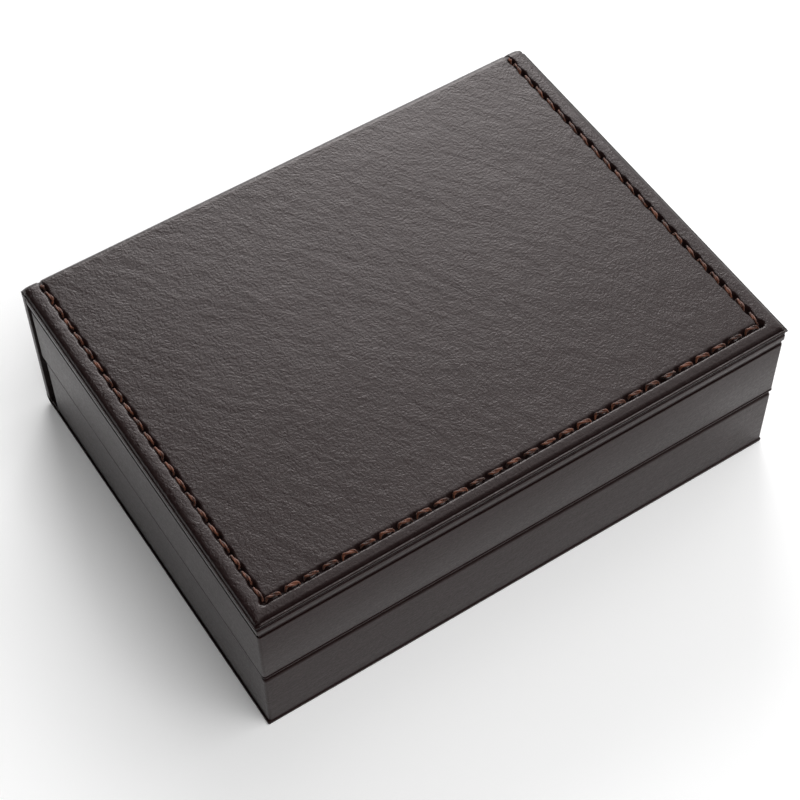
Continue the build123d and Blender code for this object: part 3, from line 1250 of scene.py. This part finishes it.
@dataclass
class Hem:
    """Turned hem that stands out round the lower tray's rim."""

    case: Case
    outer: Span
    height: float = 0.6
    corner: float = 0.9
    edge: float = 0.25
    inner: float = 2.0

    def build(self, finish: Material) -> Piece:
        """Build the hem.

        Args:
            finish: Its leatherette.

        Returns:
            The hem, a flat bead in a ring.
        """
        top = self.case.lower_rim_z
        x0, x1, y0, y1 = self.outer
        piece = add_block("lower_rim_hem", (x0, y0, top - self.height), (x1, y1, top))
        bevel(piece, self.corner, 6, lambda at, way: abs(way.z) > 0.9)
        bevel(piece, self.edge, 3, lambda at, way: abs(way.z) < 0.1)
        inner = self.inner
        carve(piece, (x0 + inner, y0 + inner, top - 2), (x1 - inner, y1 - inner, top + 2))
        smooth(piece)
        return fit(piece, Body.BASE, Slot.LEATHERETTE, finish, "lower_tray_wrap")


def bent(case: Case, points: np.ndarray, sign: int) -> np.ndarray:
    """Bend what lies flat past a fold's line round the fold.

    Args:
        case: The box's sizes.
        points: Places in millimetres, as if the cover lay flat.
        sign: 1 for the fold at the foot, -1 for the one at the head.

    Returns:
        The places round the fold.
    """
    radius = case.fold_radius
    centre_z = radius if sign > 0 else case.height - radius
    angle = np.maximum(points[:, 1] - case.fold_y, 0) / radius
    depth = sign * (centre_z - points[:, 2])
    moved = points.copy()
    past = points[:, 1] > case.fold_y
    moved[:, 1] = np.where(past, case.fold_y + depth * np.sin(angle), points[:, 1])
    moved[:, 2] = np.where(past, centre_z - sign * depth * np.cos(angle), points[:, 2])
    return moved


@dataclass
class Spine:
    """Spine cover between the folds, and the two fold skins curved round them."""

    case: Case
    steps: int = 15
    liner: float = 1.2
    liner_inset: float = 0.4
    skirt: float = 1.9
    edge: float = 0.3

    def build(self, outside: Material, inside: Material) -> None:
        """Build the cover, the fold skins and the liners inside the folds.

        Args:
            outside: The cover's leatherette.
            inside: The liners' paper.
        """
        case = self.case
        half, skin = case.case_half, case.leather
        foot_z, head_z = case.fold_radius, case.height - case.fold_radius
        board_y = case.back_y - self.skirt
        low, high = (-half, board_y, foot_z), (half, case.back_y, head_z)
        cover = add_block("spine_outer_cover", low, high)
        carve(
            cover,
            (skin - half, board_y - 1, foot_z - 1),
            (half - skin, case.back_y - skin, head_z + 1),
        )
        bevel(cover, self.edge, 3, lambda at, way: abs(way.z) > 0.9 and abs(at.x) > half - 0.01)
        smooth(cover)
        fit(cover, Body.SPINE, Slot.LEATHERETTE, outside, "spine_cover")
        self.fold("foot_fold", 0, outside, 0.0, skin)
        self.fold("foot_fold_liner", 0, inside, skin, skin + self.liner)
        self.fold("head_fold_liner", case.height, inside, skin, skin + self.liner)

    def fold(
        self, name: str, flat_z: float, finish: Material, outer: float, inner: float
    ) -> None:
        """Build one layer of a fold, curved round the fold's radius.

        Args:
            name: The piece's name.
            flat_z: Level of the face that the fold starts from: the underside or the top.
            finish: Its material.
            outer: Depth of its outer side under the fold's outer radius.
            inner: Depth of its inner side.
        """
        case = self.case
        sign = 1 if flat_z == 0 else -1
        levels = sorted((flat_z + sign * outer, flat_z + sign * inner))
        half = case.case_half - (self.liner_inset if outer else 0.0)
        reach = case.fold_radius * math.pi / 2
        low, high = (-half, case.fold_y, levels[0]), (half, case.fold_y + reach, levels[1])
        strip = add_block(name, low, high)
        pick(strip, Pick.EDGES, lambda at, way: abs(way.y) > 0.9)
        bpy.ops.mesh.subdivide(number_cuts=self.steps)
        leave_edit()
        move_points(strip, bent(case, points_of(strip), sign))
        smooth(strip)
        dress(strip, finish)
        if sign > 0:
            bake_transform(strip)
        else:
            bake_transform(strip)
        log.info("%s bends between two bodies", name)


@dataclass
class PenBed:
    """Velvet over foam, with three troughs for pens and softly rounded lips."""

    half_x: float = 79.6
    y0: float = -59.35
    y1: float = 54.85
    low_z: float = 4.0
    top_z: float = 16.5
    trough_ys: tuple[float, ...] = (-38.25, -2.25, 33.75)
    trough_radius: float = 7.5
    trough_half: float = 75.0
    cell: float = 0.75

    def build(self, finish: Material) -> Piece:
        """Build the bed.

        Args:
            finish: Its velvet.

        Returns:
            The bed.
        """
        span = (-self.half_x, self.half_x, self.y0, self.y1)
        piece = add_sheet("velvet_pen_bed", span, self.cell)
        points = points_of(piece)
        x, y = points[:, 0], points[:, 1]
        depth = np.zeros(len(points))
        for middle in self.trough_ys:
            across = np.abs(y - middle)
            inside = np.sqrt(np.maximum(self.trough_radius**2 - across**2, 0))
            end = ramp(self.trough_half - np.abs(x), -0.4, 0.8)
            depth = np.maximum(depth, inside * end)
            lip = np.exp(-(((across - self.trough_radius) / 1.0) ** 2)) * end
            depth = np.maximum(depth, 0.5 * lip)
        edge = np.minimum(self.half_x - np.abs(x), np.minimum(y - self.y0, self.y1 - y))
        rounding = 0.8 * np.clip(1 - edge / 1.6, 0, 1) ** 2
        points[:, 2] = self.top_z - depth - rounding + 0.06 * waves(points, 9, 5.0)
        move_points(piece, points)
        close_under(piece, self.low_z)
        smooth(piece, 50)
        fit(piece, Body.BASE, Slot.VELVET, finish, "velvet_bed_cover", "foam_bed")
        return piece


@dataclass
class LidCushion:
    """Satin cushion inside the lid: crowned, with drawn-in sides and folds from its corners."""

    half_x: float = 79.8
    y0: float = -59.55
    y1: float = 56.95
    card_z: float = 46.6
    height: float = 4.8
    draw: float = 1.0
    edge: float = 3.2
    cell: float = 0.8

    def build(self, finish: Material) -> Piece:
        """Build the cushion.

        Args:
            finish: Its satin.

        Returns:
            The cushion.
        """
        span = (-self.half_x, self.half_x, self.y0, self.y1)
        piece = add_sheet("satin_lid_cushion", span, self.cell)
        points = points_of(piece)
        middle_y = (self.y0 + self.y1) / 2
        half_y = (self.y1 - self.y0) / 2
        share_x = points[:, 0] / self.half_x
        share_y = (points[:, 1] - middle_y) / half_y
        drawn_x = self.half_x - self.draw * (1 - share_y**2)
        drawn_y = half_y - self.draw * (1 - share_x**2)
        points[:, 0] = share_x * drawn_x
        points[:, 1] = middle_y + share_y * drawn_y
        inset = np.minimum((1 - np.abs(share_x)) * self.half_x, (1 - np.abs(share_y)) * half_y)
        corner = np.hypot(1 - np.abs(share_x), (1 - np.abs(share_y)) * half_y / self.half_x)
        angle = np.arctan2(1 - np.abs(share_y), 1 - np.abs(share_x) + 1e-6)
        folds = 0.18 * np.sin(angle * 22) * np.exp(-corner * 9) * ramp(inset, 0, 3)
        roll = np.sqrt(np.clip(1 - np.clip(1 - inset / self.edge, 0, 1) ** 2, 0, 1))
        crown = 1.2 * (1 - (share_x**2 + share_y**2) / 2)
        swell = 0.12 * waves(points, 22, 12.0)
        depth = 0.4 + (self.height - 1.6) * roll + crown * roll + folds + swell * roll
        points[:, 2] = self.card_z - np.minimum(depth, self.height)
        move_points(piece, points)
        close_under(piece, self.card_z)
        smooth(piece, 50)
        fit(piece, Body.LID, Slot.SATIN, finish, "lid_pad")
        return piece


@dataclass
class Straps:
    """Elastic bands over the pens, and the ribbon tab that lifts the bed."""

    bed: PenBed
    offset: float = 42.0
    width: float = 10.0
    thickness: float = 0.8
    end_gap: float = 1.2
    drops: tuple[float, float] = (0.5, 1.4)
    tab_width: float = 12.0
    tab_length: float = 16.0
    tab_thickness: float = 0.6

    def band(self, side: str, x: float, finish: Material) -> None:
        """Build one band, whose ends dip into the bed."""
        bed = self.bed
        low = (x - self.width / 2, bed.y0 + self.end_gap, bed.top_z + 0.1)
        high = (x + self.width / 2, bed.y1 - self.end_gap, bed.top_z + self.thickness)
        piece = add_block(f"elastic_strap_{side}", low, high)
        bevel(piece, 0.25, 3, lambda at, way: abs(way.y) > 0.9)
        pick(piece, Pick.FACES, lambda at, way: abs(way.y) > 0.9)
        for drop in self.drops:
            bpy.ops.mesh.extrude_region_move(TRANSFORM_OT_translate={"value": (0, 0, -drop * MM)})
        leave_edit()
        smooth(piece)
        fit(piece, Body.BASE, Slot.ELASTIC, finish, f"elastic_band_{side}")

    def tab(self, finish: Material) -> None:
        """Build the ribbon tab, a loop pressed flat."""
        bed = self.bed
        middle = (bed.trough_ys[0] + bed.trough_ys[1]) / 2
        low = (-bed.half_x, middle - self.tab_width / 2, bed.top_z)
        top = bed.top_z + self.tab_thickness
        high = (self.tab_length - bed.half_x, middle + self.tab_width / 2, top)
        piece = add_block("ribbon_tab", low, high)
        bevel(piece, 0.29, 4, lambda at, way: abs(way.y) > 0.9 and at.x > 0.5 - bed.half_x)
        smooth(piece)
        fit(piece, Body.BASE, Slot.RIBBON, finish, "lift_tab")

    def build(self, elastic: Material, ribbon: Material) -> None:
        """Build both bands and the tab.

        Args:
            elastic: The bands' weave.
            ribbon: The tab's weave.
        """
        self.band("left", -self.offset, elastic)
        self.band("right", self.offset, elastic)
        self.tab(ribbon)


def dress_boards(finishes: Wardrobe) -> None:
    """Give the CAD nodes that still show their finishes.

    Args:
        finishes: The finishes of the box.
    """
    sides = ("front", "back", "left", "right")
    walls = [f"{tray}_{side}_wall" for tray in ("lower", "upper") for side in sides]
    rows = {
        "greyboard": ["base_board", "spine_board", "lid_case_board", "lid_pad_board"],
        "fibreboard": walls + ["lower_tray_floor", "upper_tray_floor"],
        "liner": ["base_liner", "spine_liner", "lid_liner"],
        "velvet": ["lower_tray_lining", "upper_tray_lining"],
        "nickel": ["lower_magnets", "upper_magnets"],
    }
    for finish, nodes in rows.items():
        for node in nodes:
            dress(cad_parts[node], getattr(finishes, finish))
            log.info("%s dressed in %s", node, finish)


@dataclass
class Studio:
    """White floor, soft lamps and the camera of the photograph."""

    camera_place: Triple = (-0.1887, -0.29713, 0.50928)
    camera_turn: Triple = (35.198, 0.463, -33.011)
    lens: float = 93.48
    floor: Triple = (0.96, 0.96, 0.96)
    glow: float = 0.08
    sky_way: Triple = (0.95, 0.2, 0.2)
    sky_levels: Span = (0.25, 1.0, 0.0, 1.3)

    def build(self) -> None:
        """Set up the floor, the world, the lamps and the camera."""
        bpy.ops.object.select_all(action="DESELECT")
        bpy.ops.mesh.primitive_plane_add(size=8, location=(0, 0, -0.00005))
        ground = named("studio_floor")
        bench = Bench("white_floor")
        bench.set(Base_Color=(*self.floor, 1), Roughness=0.7, Specular_IOR_Level=0.2)
        bench.set(Emission_Color=(1, 1, 1, 1), Emission_Strength=self.seen_glow(bench))
        dress(ground, bench.material)
        self.sky()
        self.lamp("front", (0.1, -0.54, 1.18), 0.9, 11.0, glossy=False)
        self.lamp("overhead", (0.25, 0.2, 1.25), 0.7, 1.1)
        self.lamp("back", (0.534, 1.004, 0.63), 0.7, 9.6)
        self.camera()

    def seen_glow(self, bench: Bench) -> Socket:
        """Give the floor's glow, which only the camera, metal and glass see."""
        path = bench.node("ShaderNodeLightPath")
        seen = path.outputs["Is Camera Ray"]
        for name in ("Is Glossy Ray", "Is Transmission Ray"):
            seen = bench.add(seen, path.outputs[name], "MAXIMUM")
        return bench.add(seen, self.glow, "MULTIPLY")

    def sky(self) -> None:
        """Light from the right, which fades out towards the left."""
        world = bpy.data.worlds.new("studio")
        bpy.context.scene.world = world
        world.use_nodes = True
        tree = world.node_tree
        back = tree.nodes["Background"]
        way = tree.nodes.new("ShaderNodeTexCoord").outputs["Generated"]
        dot = tree.nodes.new("ShaderNodeVectorMath")
        dot.operation = "DOT_PRODUCT"
        tree.links.new(way, dot.inputs[0])
        dot.inputs[1].default_value = Vector(self.sky_way).normalized()
        spread = tree.nodes.new("ShaderNodeMapRange")
        tree.links.new(dot.outputs["Value"], spread.inputs[0])
        for index, level in enumerate(self.sky_levels):
            spread.inputs[index + 1].default_value = level
        tree.links.new(spread.outputs[0], back.inputs["Strength"])
        back.inputs["Color"].default_value = (1, 1, 1, 1)

    def lamp(
        self, name: str, place: Triple, size: float, power: float, glossy: bool = True
    ) -> None:
        """Add a soft square lamp that points at the box.

        Args:
            name: The lamp's name.
            place: Where it stands, in metres.
            size: Its side in metres.
            power: Its power in watts.
            glossy: Whether it shows as a sheen on the leather.
        """
        bpy.ops.object.light_add(type="AREA", location=place)
        lamp = bpy.context.active_object
        lamp.name = name
        lamp.data.size = size
        lamp.data.energy = power
        lamp.visible_glossy = glossy
        lamp.rotation_euler = (-Vector(place)).to_track_quat("-Z", "Y").to_euler()

    def camera(self) -> None:
        """Place the camera where the photograph was taken from."""
        bpy.ops.object.camera_add(location=self.camera_place)
        camera = bpy.context.active_object
        camera.rotation_euler = [math.radians(angle) for angle in self.camera_turn]
        camera.data.lens = self.lens
        camera.data.sensor_width = 36
        camera.data.clip_start = 0.01
        bpy.context.scene.camera = camera


def main() -> None:
    """Build the box's looks, piece by piece."""
    logging.basicConfig(level=logging.INFO, format="%(message)s")
    case = Case()
    finishes = Wardrobe()
    panel = PaddedPanel(case)
    panel.build(finishes.panel)
    panel.head_fold(finishes.panel)
    SaddleSeam(case).build(finishes.thread)
    BackingSheet(case).build(finishes.wall)
    seat = case.lid_case_z
    CoveredBoard(
        case, "lid_board_cover", Body.LID, case.backing_z, seat, seat, "lid_case_wrap"
    ).build(finishes.wall)
    CoveredBoard(
        case, "base_board_cover", Body.BASE, 0, 1.2, case.case_z, "base_wrap"
    ).build(finishes.wall)
    TrayCover(
        "upper_tray_cover",
        Body.LID,
        case.lid_case_z,
        case.upper_rim_z,
        (-84.3, 84.95, -64.05, 61.45),
        (-80.3, 80.3, -60.05, 57.45),
        "upper_tray_wrap",
        shadow=2.4,
    ).build(finishes.wall)
    TrayCover(
        "lower_tray_cover",
        Body.BASE,
        1.2,
        case.lower_rim_z,
        (-84.2, 84.7, -64.1, 59.15),
        (-79.9, 79.9, -59.65, 55.15),
        "lower_tray_wrap",
        draw=0.95,
    ).build(finishes.wall)
    Hem(case, (-84.3, 84.99, -64.2, 59.3)).build(finishes.wall)
    Spine(case).build(finishes.wall, finishes.liner)
    bed = PenBed()
    bed.build(finishes.velvet)
    Straps(bed).build(finishes.elastic, finishes.ribbon)
    LidCushion().build(finishes.satin)
    dress_boards(finishes)
    Studio().build()
    bpy.context.scene.view_settings.view_transform = "Standard"


if __name__ == "__main__":
    main()
